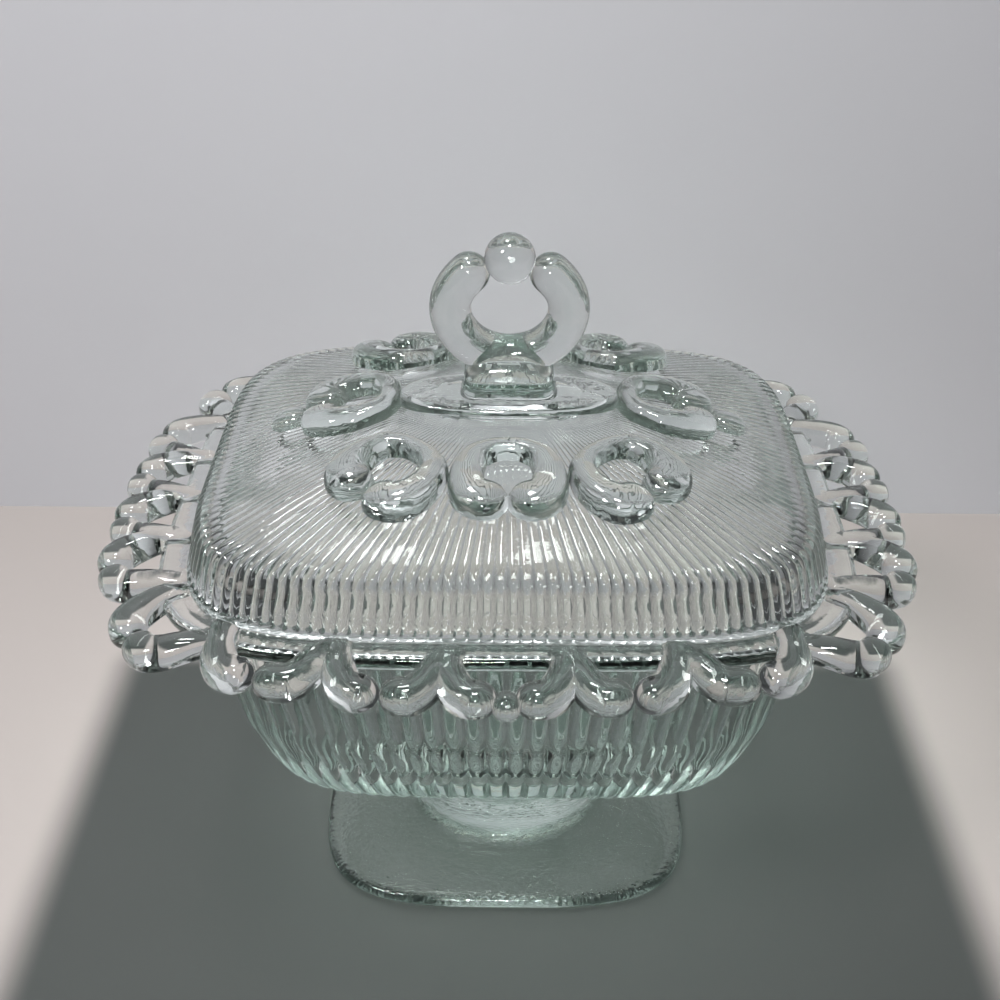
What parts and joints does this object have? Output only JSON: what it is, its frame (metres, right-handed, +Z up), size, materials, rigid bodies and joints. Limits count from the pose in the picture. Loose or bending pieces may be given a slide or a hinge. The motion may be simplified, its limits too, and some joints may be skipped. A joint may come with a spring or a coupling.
{
  "type": "covered candy dish",
  "caption": "Clear pressed-glass covered candy dish: footed reeded bowl with an open lace edge, and a fluted lift-off lid with a ring and ball finial.",
  "frame": {"origin": "on the surface that the foot stands on, under the middle of the foot", "axes": "+Z up, +X along the long side of the dish, front is -Y"},
  "size_m": [0.2034, 0.1802, 0.1715],
  "materials": {
    "clear_glass": "fire-polished pressed glass, clear with a faint green tint where it is thick"
  },
  "bodies": {
    "dish": {"footed_bowl": "clear_glass"},
    "lid": {"lid": "clear_glass"}
  },
  "joints": [
    {"name": "lid_lift", "type": "slide", "parent": "dish", "child": "lid", "axis": [0, 0, 1], "range_m": [0, 0.12]}
  ]
}
